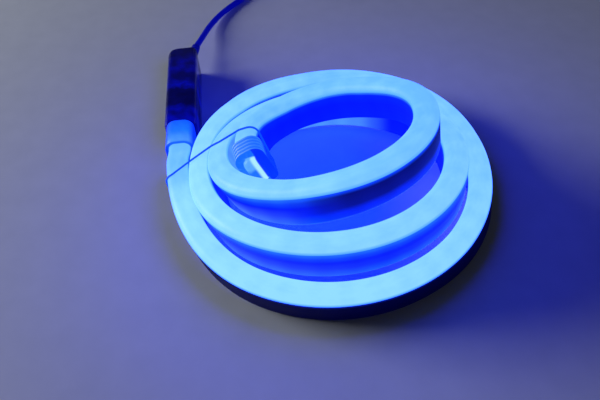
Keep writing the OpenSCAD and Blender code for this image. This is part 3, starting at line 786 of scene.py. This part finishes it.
def metal(name, color, rough):
    """Plated or rolled metal with fine level marks and duller stains."""
    look = Look(name, color, rough, Metallic=1.0)
    scaled = [look.times(value, scale) for value, scale in zip(look.split(look.place()), BRUSH_SCALES)]
    marks = look.noise(look.join(*scaled), detail=4)
    stain = look.noise(look.place(), scale=220, detail=3)
    look.bump(marks, depth_mm=0.01)
    dull = tuple(c * DULL_SHARE for c in color)
    return look.show(Base_Color=look.ramp(stain, (0.35, dull), (0.6, color)),
                     Roughness=look.vary(marks, rough - 0.08, rough + 0.1))


# ---- The jacket's look ----
STREAKS_ALONG, STREAKS_UP = 9.0, 42.0
# The light and shade painted on its walls by height, from the underside at 0 to the dome's top at 1:
# light that the lit turns throw on them, and shade where little of it falls.
INNER_WALL_PAINTED_LIGHT = [(0.0, (0.001, 0.010, 1.0)), (0.5, (0.001, 0.007, 0.98)), (0.74, (0.001, 0.015, 1.0)),
              (0.79, (0.022, 0.16, 1.0))]
OUTER_WALL_PAINTED_LIGHT = [(0.0, (0.03, 0.16, 1.0)), (0.035, (0.03, 0.17, 1.0)), (0.07, (0.004, 0.08, 1.0)),
              (0.30, (0.001, 0.018, 1.0)), (0.52, (0.001, 0.010, 0.98)), (0.68, (0.004, 0.055, 1.0)),
              (0.79, (0.014, 0.14, 1.0))]
# Painted shade on the outer walls in a band where little light falls; below, deeper painted shade for the
# outermost side.
PAINTED_SHADE_WALL = [(0.0, (0.02, 0.10, 1.0)), (0.035, (0.02, 0.10, 1.0)), (0.07, (0.001, 0.02, 1.0)),
            (0.22, (0.001, 0.012, 0.8)), (0.34, (0.001, 0.003, 0.25)), (0.70, (0.001, 0.002, 0.16)),
            (0.79, (0.003, 0.05, 1.0))]
PAINTED_DEEP_SHADE_WALL = [(0.0, (0.0, 0.0, 0.012)), (0.7, (0.0, 0.0, 0.018)), (0.8, (0.0, 0.01, 0.3))]
# Angles along the coil from where to where each painted shade on the outer walls comes in, and goes
# again.
PAINTED_DEEP_SHADE_IN = (500, 455)
PAINTED_SHADE_IN, PAINTED_SHADE_OUT = (962, 1002), (1120, 1090)
# By the end cap, the inner wall is lit from across.
BY_CAP_IN, BY_CAP_OUT = (770, 800), (935, 910)
BY_CAP_LIGHT = (0.07, 0.28, 1.0)
# Where the outer wall catches light from the turn below it, at angles along the coil.
CAUGHT = [(525, 0.0), (552, 0.9), (605, 0.3), (650, 0.0), (685, 0.1), (715, 0.6), (745, 0.0),
          (885, 0.0), (912, 0.9), (950, 0.45), (980, 0.0)]
CAUGHT_BELOW = (0.55, 0.05)
CAUGHT_LIGHT = (0.10, 0.26, 1.0)


def jacket_look():
    """Blue PVC channel: painted shade darkens its outermost side and a band of its outer walls, and
    painted light makes the walls glow where they face a lit turn.
    """
    look = Look("jacket_pvc", (0.0, 0.008, 0.30), 0.5, Specular_IOR_Level=0.08, Emission_Strength=1.0)
    run, high = look.uv("run_height")
    across = look.uv("run_across")[1]
    streak = look.noise(look.join(look.times(run, STREAKS_ALONG), look.times(high, STREAKS_UP), across),
                        detail=3)
    look.bump(look.plus(streak, look.times(look.noise(look.place(), scale=2600), 0.35)), depth_mm=0.05)

    # The walls' emission is painted light and shade: the light that falls on them from the lit turns, not
    # a glow of their own.
    by_cap = look.times(look.from_to(run, *BY_CAP_IN), look.from_to(run, *BY_CAP_OUT))
    inner = look.blend(by_cap, look.ramp(high, *INNER_WALL_PAINTED_LIGHT), BY_CAP_LIGHT)
    caught = look.times(look.by_angle(run, CAUGHT), look.spread(high, *CAUGHT_BELOW))
    outer = look.blend(caught, look.ramp(high, *OUTER_WALL_PAINTED_LIGHT), CAUGHT_LIGHT)
    dim = look.times(look.from_to(run, *PAINTED_SHADE_IN), look.from_to(run, *PAINTED_SHADE_OUT))
    outer = look.blend(dim, outer, look.ramp(high, *PAINTED_SHADE_WALL))

    outside = look.spread(across, -0.5, 0.5)
    glow = look.blend(outside, inner, outer)
    glow = look.blend(look.times(outside, look.from_to(run, *PAINTED_DEEP_SHADE_IN)), glow, look.ramp(high, *PAINTED_DEEP_SHADE_WALL))
    return look.show(Base_Color=look.mottled(streak, (0.0, 0.001, 0.07), (0.0, 0.002, 0.11)),
                     Emission_Color=look.dimmed(glow, look.beat(run, 0.93, 1.07)),
                     Roughness=look.vary(streak, 0.42, 0.58))


# ---- The diffuser's look ----
FACE_GLOW = 3.1
MOTTLE_ALONG = 38.0
FINE_ALONG, FINE_ACROSS = 260.0, 3.0
# How strongly the face is lit at angles along the coil: it falls along the run, and on top of that it is
# painted brighter on the left and front of each turn and dimmer on its right and back.
OUTPUT_AND_PAINTED_LIGHT = [(166, 0.0), (192, 0.85), (270, 1.0), (360, 0.45), (450, 0.2), (545, 0.9), (630, 0.72),
          (720, 0.3), (810, 0.25), (905, 0.5), (990, 0.5), (1080, -0.1), (1170, 0.15), (1250, 0.2)]
FACE_DIM = (0.046, 0.155, 1.0)
FACE_BRIGHT = (0.094, 0.232, 1.0)
# The face's edge: from where to where, 0 in the middle and 1 at the side, and its colour there.
RIM_FROM, RIM_GLOW = (0.92, 0.985), (0.036, 0.138, 1.0)
EDGE_FROM, EDGE_GLOW = (0.985, 1.0), (0.014, 0.085, 0.9)


def diffuser_look():
    """The luminous dome: pale blue, deeper at its edges, with a faint beat from each LED."""
    look = Look("diffuser_lit", (0.03, 0.09, 0.24), 0.45, Specular_IOR_Level=0.18,
                Emission_Strength=FACE_GLOW)
    run, across = look.uv("run_across")
    side = look.math("ABSOLUTE", across)
    mottle = look.noise(look.join(look.times(run, MOTTLE_ALONG), across), detail=3)
    fine = look.noise(look.join(look.times(run, FINE_ALONG), look.times(across, FINE_ACROSS)))
    look.bump(look.plus(mottle, fine), depth_mm=0.04)
    level = look.plus(look.beat(run, -0.06, 0.06), look.vary(mottle, -0.14, 0.14),
                      look.vary(fine, -0.05, 0.05), look.by_angle(run, OUTPUT_AND_PAINTED_LIGHT))
    middle = look.blend(level, FACE_DIM, FACE_BRIGHT)
    rim = look.blend(look.spread(side, *EDGE_FROM), RIM_GLOW, EDGE_GLOW)
    return look.show(Emission_Color=look.blend(look.spread(side, *RIM_FROM), middle, rim))


# ---- The sleeve's look ----
# Its glow on top, from the connector at 0 to its mouth at 1, and on its sides.
SLEEVE_TOP = [(0.0, (0.003, 0.09, 1.0)), (0.5, (0.010, 0.16, 1.0)), (0.9, (0.065, 0.28, 1.0)),
              (0.97, (0.055, 0.25, 1.0)), (1.0, (0.004, 0.08, 1.0))]
SLEEVE_SIDE = (0.001, 0.03, 1.0)
# The top turns into the side from one height down to another, and from one place across to another.
SLEEVE_DOWN = (19.0, 11.0)
SLEEVE_ACROSS = (6.6, 9.4)


def sleeve_look():
    """Clear PVC sleeve lit by the flex inside it: paler on top and towards the coil."""
    look = Look("sleeve_clear", (0.01, 0.05, 0.5), 0.35, Transmission_Weight=0.35, IOR=1.4,
                Emission_Strength=1.0, Specular_IOR_Level=0.2)
    along, high = look.uv("along_up")
    across = look.math("ABSOLUTE", look.uv("across")[0])
    side = look.math("MAXIMUM", look.spread(high, *SLEEVE_DOWN), look.spread(across, *SLEEVE_ACROSS))
    glow = look.blend(side, look.ramp(look.spread(along, 0.0, SLEEVE_L), *SLEEVE_TOP), SLEEVE_SIDE)
    cloud = look.noise(look.place(), scale=260, detail=3)
    look.bump(look.noise(look.place(), scale=900, detail=3), depth_mm=0.03)
    return look.show(Emission_Color=look.dimmed(glow, look.vary(cloud, 0.9, 1.08)),
                     Roughness=look.vary(cloud, 0.28, 0.42))


# ---- The cap's look: places along, across and up are in millimetres, as in its maps ----
# Painted light of the flex through the cap: ribs lighter than grooves, both lighter on the outer side
# (NEAR) than on the inner side (FAR), and painted shade on the low inner wall.
CAP_FADE = (2.0, -8.0)
RIB_WAVE = (-0.6, 0.9)
RIB_NEAR, RIB_FAR = (0.070, 0.27, 1.0), (0.030, 0.20, 1.0)
GROOVE_NEAR, GROOVE_FAR = (0.012, 0.155, 1.0), (0.005, 0.11, 1.0)
LOW_WALL_DOWN, LOW_WALL_ACROSS = (21.0, 14.0), (-4.0, -7.0)
LOW_WALL_PAINTED_SHADE = (0.001, 0.025, 1.0)
# The nose's painted light, from the last rib at 0 to its tip at 1, then the painted shade on its lower
# half and its inner side.
NOSE_PAINTED_LIGHT = [(0.0, (0.007, 0.14, 1.0)), (0.12, (0.018, 0.18, 1.0)), (0.25, (0.12, 0.42, 1.0)),
             (1.0, (0.10, 0.38, 1.0))]
NOSE_ALONG = (CAP_GRIP_END - 0.35, CAP_GRIP_END - 0.05)
NOSE_RAGGED = 4.0
NOSE_DOWN, NOSE_LOW_PAINTED_SHADE = (18.5, 15.5), (0.014, 0.16, 1.0)
NOSE_ACROSS, NOSE_INNER_PAINTED_SHADE = (-3.2, -4.1), (0.001, 0.022, 1.0)
# The bright leak of the flex's light beside its cut end, painted on.
LEAK_ACROSS, LEAK_ALONG, LEAK_SLANT = (0.4, -1.7), (4.4, 6.4), -0.2
LEAK_PAINTED_LIGHT = (0.42, 0.84, 1.0)


def cap_look():
    """Moulded clear cap with the flex's light painted on it: light in its ribs, darker grooves, painted
    shade low on its inner side, and a bright leak where the flex ends.
    """
    look = Look("cap_clear", (0.01, 0.04, 0.4), 0.55, Transmission_Weight=0.12, IOR=1.4,
                Emission_Strength=1.0, Specular_IOR_Level=0.08)
    along, high = look.uv("along_up")
    across = look.uv("across")[0]
    cloud = look.noise(look.place(), scale=330, detail=3, roughness=0.6)

    phase = look.times(look.plus(along, CAP_GRIP - RIB_L / 2), 2 * math.pi / RIB_PITCH)
    on_rib = look.spread(look.math("COSINE", phase), *RIB_WAVE)
    fade = look.spread(across, *CAP_FADE)
    groove = look.blend(fade, GROOVE_NEAR, GROOVE_FAR)
    ribbed = look.blend(on_rib, groove, look.blend(fade, RIB_NEAR, RIB_FAR))
    low_wall = look.times(look.spread(high, *LOW_WALL_DOWN, smooth=True),
                          look.spread(across, *LOW_WALL_ACROSS))
    ribbed = look.blend(low_wall, ribbed, LOW_WALL_PAINTED_SHADE)

    place = look.plus(look.spread(along, CAP_GRIP_END, CAP_NOSE), look.vary(cloud, -0.16, 0.16))
    nose = look.ramp(place, *NOSE_PAINTED_LIGHT)
    ragged = look.plus(high, look.times(cloud, NOSE_RAGGED))
    nose = look.blend(look.spread(ragged, *NOSE_DOWN), nose, NOSE_LOW_PAINTED_SHADE)
    slanted = look.plus(along, look.times(across, LEAK_SLANT))
    leak = look.times(look.spread(across, *LEAK_ACROSS, smooth=True),
                      look.spread(slanted, *LEAK_ALONG, smooth=True))
    nose = look.blend(leak, nose, LEAK_PAINTED_LIGHT)
    nose = look.blend(look.spread(across, *NOSE_ACROSS, smooth=True), nose, NOSE_INNER_PAINTED_SHADE)

    look.bump(look.noise(look.place(), scale=1100, detail=3), depth_mm=0.03)
    return look.show(Emission_Color=look.blend(look.spread(along, *NOSE_ALONG), ribbed, nose),
                     Roughness=look.vary(cloud, 0.48, 0.64))


# ---- The housing's look: the blue light painted in it, from the flex's end at 0 to the lead's at 1 ----
HOUSING_PAINTED_LIGHT = [(0.0, (0.0, 0.001, 0.28)), (0.16, (0.0, 0.001, 0.20)), (0.24, (0.0, 0.0, 0.02)),
                (0.44, (0.0, 0.0, 0.02)), (0.50, (0.0, 0.001, 0.20)), (0.60, (0.0, 0.0, 0.10)),
                (0.74, (0.0, 0.0, 0.15)), (0.90, (0.0, 0.0, 0.04)), (1.0, (0.0, 0.0, 0.03))]
# The painted light's cloudy patches: the noise they come from, and how far they dim and lift it.
PATCH_NOISE, PATCH_LEVEL = (0.38, 0.62), (0.35, 1.25)


def housing_look():
    """Smoky blue clear plastic with blue light painted in it: brightest where it meets the flex, in bands
    and cloudy patches along it.
    """
    look = Look("housing_clear", (0.004, 0.006, 0.10), 0.22, Transmission_Weight=0.55, IOR=1.4,
                Emission_Strength=1.0, Specular_IOR_Level=0.2)
    cloud = look.noise(look.place(), scale=120, detail=3)
    near, far = (to_frame(from_lead_end(0, y, 0)).y for y in (0, HOUSING_L))
    along = look.plus(look.spread(look.split(look.place())[1], near, far), look.vary(cloud, -0.05, 0.05))
    patch = look.spread(look.noise(look.place(), scale=75), *PATCH_NOISE, *PATCH_LEVEL)
    look.bump(look.noise(look.place(), scale=1500, detail=3), depth_mm=0.012)
    return look.show(Base_Color=look.mottled(cloud, (0.003, 0.004, 0.08), (0.006, 0.008, 0.14)),
                     Emission_Color=look.dimmed(look.ramp(along, *HOUSING_PAINTED_LIGHT), patch),
                     Roughness=look.vary(cloud, 0.17, 0.27))


def dress(piece, material):
    """Gives a piece one material all over."""
    piece.data.materials.clear()
    piece.data.materials.append(material)


def finish_piece(piece, material, slot, *nodes):
    """Gives a piece its material, and has it ride on the part in place of the CAD nodes."""
    dress(piece, material)
    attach(piece, ROOT)
    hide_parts(*nodes)


# ---- Floor and light ----
FLOOR_SIZE_M = 8
SKY = (0.82, 0.87, 1, 1)
SKY_STRENGTH = 0.035
KEY_AT_M = (-1.5, 0.3, 0.52)
KEY_SIZE_M = 0.8
KEY_WATTS = 20
# Lamps for the light that the flex throws round itself: one above the coil, and a ring inside it.
GLOW_COLOR = (0.0, 0.006, 1.0)
SPILL_H = 170
SPILL_R_M = 0.06
SPILL_WATTS = 1.2
RING_LAMPS = 6
RING_FROM_DEG = 740
RING_SHARE = 0.45
RING_H = 30.0
RING_R_M = 0.012
RING_WATTS = 0.2


def make_floor():
    """A plain pale floor."""
    bpy.ops.mesh.primitive_plane_add(size=FLOOR_SIZE_M, location=(0, 0, 0))
    floor = bpy.context.object
    floor.name = "floor"
    dress(floor, moulded("floor_pale", (0.47, 0.51, 0.58), (0.50, 0.54, 0.61), 0.6, grain_mm=6,
                         Specular_IOR_Level=0.2))


def make_world():
    """Faint even light from all round."""
    world = bpy.data.worlds.new("studio")
    bpy.context.scene.world = world
    world.use_nodes = True
    background = world.node_tree.nodes["Background"]
    background.inputs["Color"].default_value = SKY
    background.inputs["Strength"].default_value = SKY_STRENGTH


def lamp(name, kind, at, watts):
    """A light at a place in metres."""
    data = bpy.data.lights.new(name, kind)
    data.energy = watts
    light = bpy.data.objects.new(name, data)
    light.location = at
    bpy.context.scene.collection.objects.link(light)
    return light


def make_key():
    """A softbox, low on the left, turned to the part."""
    key = lamp("key", "AREA", KEY_AT_M, KEY_WATTS)
    key.data.shape = "SQUARE"
    key.data.size = KEY_SIZE_M
    key.rotation_euler = (-Vector(KEY_AT_M)).to_track_quat("-Z", "Y").to_euler()


def make_glow(name, at, radius, watts):
    """A small blue lamp that the camera doesn't see."""
    light = lamp(name, "POINT", at, watts)
    light.data.shadow_soft_size = radius
    light.data.color = GLOW_COLOR
    light.visible_camera = False


# ---- Making: the camera and the lead first ----
make_camera()
cord_path = [to_frame(p) for p in cord_line()]
cord = tube("mains_lead", cord_path, CORD_D / 2 * MM, CORD_SIDES)

# ---- Materials of the smaller parts ----
# The lead, its strain relief and the tie wire have painted blue light in their emission: the flex's light
# falling on them.
lead_pvc_and_painted_light = moulded("cord_pvc", (0.0, 0.001, 0.16), (0.001, 0.003, 0.24), 0.45, Specular_IOR_Level=0.15,
                   Emission_Color=(0.0, 0.001, 0.2, 1), Emission_Strength=1.0)
relief_pvc_and_painted_light = moulded("relief_pvc_and_painted_light", (0.0, 0.001, 0.12), (0.001, 0.003, 0.2), 0.45, Specular_IOR_Level=0.15,
                     Emission_Color=(0.0, 0.001, 0.12, 1), Emission_Strength=1.0)
enamel_and_painted_light = moulded("wire_enamel", (0.0, 0.02, 0.3), (0.0, 0.03, 0.4), 0.4, Specular_IOR_Level=0.2,
                 Emission_Color=(0.003, 0.07, 1, 1), Emission_Strength=1.0)
silicone = moulded("silicone_core", (0.6, 0.75, 0.95), (0.75, 0.88, 1.0), 0.4,
                   Emission_Color=(0.2, 0.55, 1, 1), Emission_Strength=0.6)
led_lens = moulded("led_lens", (0.7, 0.6, 0.15), (0.95, 0.85, 0.3), 0.2,
                   Emission_Color=(0.1, 0.4, 1, 1), Emission_Strength=2.0)
black = moulded("plug_black", (0.006, 0.006, 0.008), (0.014, 0.014, 0.018), 0.45)
resin = moulded("rectifier_resin", (0.003, 0.003, 0.004), (0.010, 0.010, 0.013), 0.5)
band = moulded("tie_band", (0.01, 0.01, 0.012), (0.02, 0.02, 0.024), 0.6, grain_mm=0.9, depth_mm=0.08)
board = moulded("board_mask", (0.004, 0.03, 0.02), (0.01, 0.06, 0.035), 0.35)
tape = moulded("tape_mask", (0.7, 0.7, 0.68), (0.85, 0.85, 0.82), 0.4)
ceramic = moulded("resistor_body", (0.008, 0.008, 0.01), (0.03, 0.03, 0.03), 0.5)
brown = moulded("core_brown", (0.12, 0.04, 0.015), (0.2, 0.07, 0.02), 0.4)
blue = moulded("core_blue", (0.01, 0.05, 0.4), (0.02, 0.1, 0.6), 0.4)
nickel = metal("plug_nickel", (0.72, 0.71, 0.68), 0.22)
copper = metal("bus_copper", (0.85, 0.42, 0.22), 0.3)
brass = metal("pin_brass", (0.86, 0.66, 0.32), 0.25)
tin = metal("leg_tin", (0.75, 0.76, 0.78), 0.3)

# ---- The pieces that replace CAD nodes ----
finish_piece(cord, lead_pvc_and_painted_light, "cord", "power_cord", "cord_coil", "plug_lead")
rings = flex_rings(ring_deg=2.0, lead_steps=8, settle_steps=12, tail_steps=4)
finish_piece(sweep("flex_jacket", rings, jacket_outline()), jacket_look(), "jacket", "jacket")
finish_piece(sweep("flex_diffuser", rings, diffuser_outline()), diffuser_look(), "diffuser", "diffuser")
sleeve = around_flex("lead_sleeve", lead_ring(LEAD_L), sleeve_chain(), closed=True)
finish_piece(sleeve, sleeve_look(), "sleeve", "front_sleeve")
finish_piece(around_flex("cap_moulding", rings[-1], cap_chain()), cap_look(), "cap", "end_cap")
tie_path = [to_frame(p) for p in tie_line(rings)]
finish_piece(tube("tie_wire_loop", tie_path, WIRE_R * MM, WIRE_SIDES), enamel_and_painted_light, "wire", "tie_wire")
shell = housing_look()
for node in ("connector_base", "connector_lid"):
    finish_piece(softened(node, node + "_shell", width=0.4), shell, "housing", node)
finish_piece(softened("plug_body", "plug_moulding", width=0.8), black, "plug", "plug_body")
relief = softened("strain_relief", "relief_moulding", width=0.12)
finish_piece(relief, relief_pvc_and_painted_light, "cord", "strain_relief")

# ---- The CAD nodes that stay, each with its material ----
CARRIED = {"light_core": silicone, "led_tape": tape, "leds": led_lens, "tape_resistors": ceramic,
           "bus_wire_pos": copper, "bus_wire_neg": copper, "circuit_board": board, "rectifier": resin,
           "rectifier_legs": tin, "contact_pin_pos": brass, "contact_pin_neg": brass,
           "lead_core_live": brown, "lead_core_neutral": blue, "cord_tie": band,
           "plug_pin_live": nickel, "plug_pin_neutral": nickel}
for node, material in CARRIED.items():
    dress(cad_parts[node], material)

to_frame(relief_tip())

make_floor()
make_world()
bpy.context.scene.view_settings.view_transform = "Standard"
make_key()
make_glow("spill", to_frame((0, 0, SPILL_H)), SPILL_R_M, SPILL_WATTS)
for k in range(RING_LAMPS):
    centre = centre_at(RING_FROM_DEG + 360 / RING_LAMPS * k)
    at = to_frame((centre[0] * RING_SHARE, centre[1] * RING_SHARE, RING_H))
    make_glow("glow_%d" % k, at, RING_R_M, RING_WATTS)
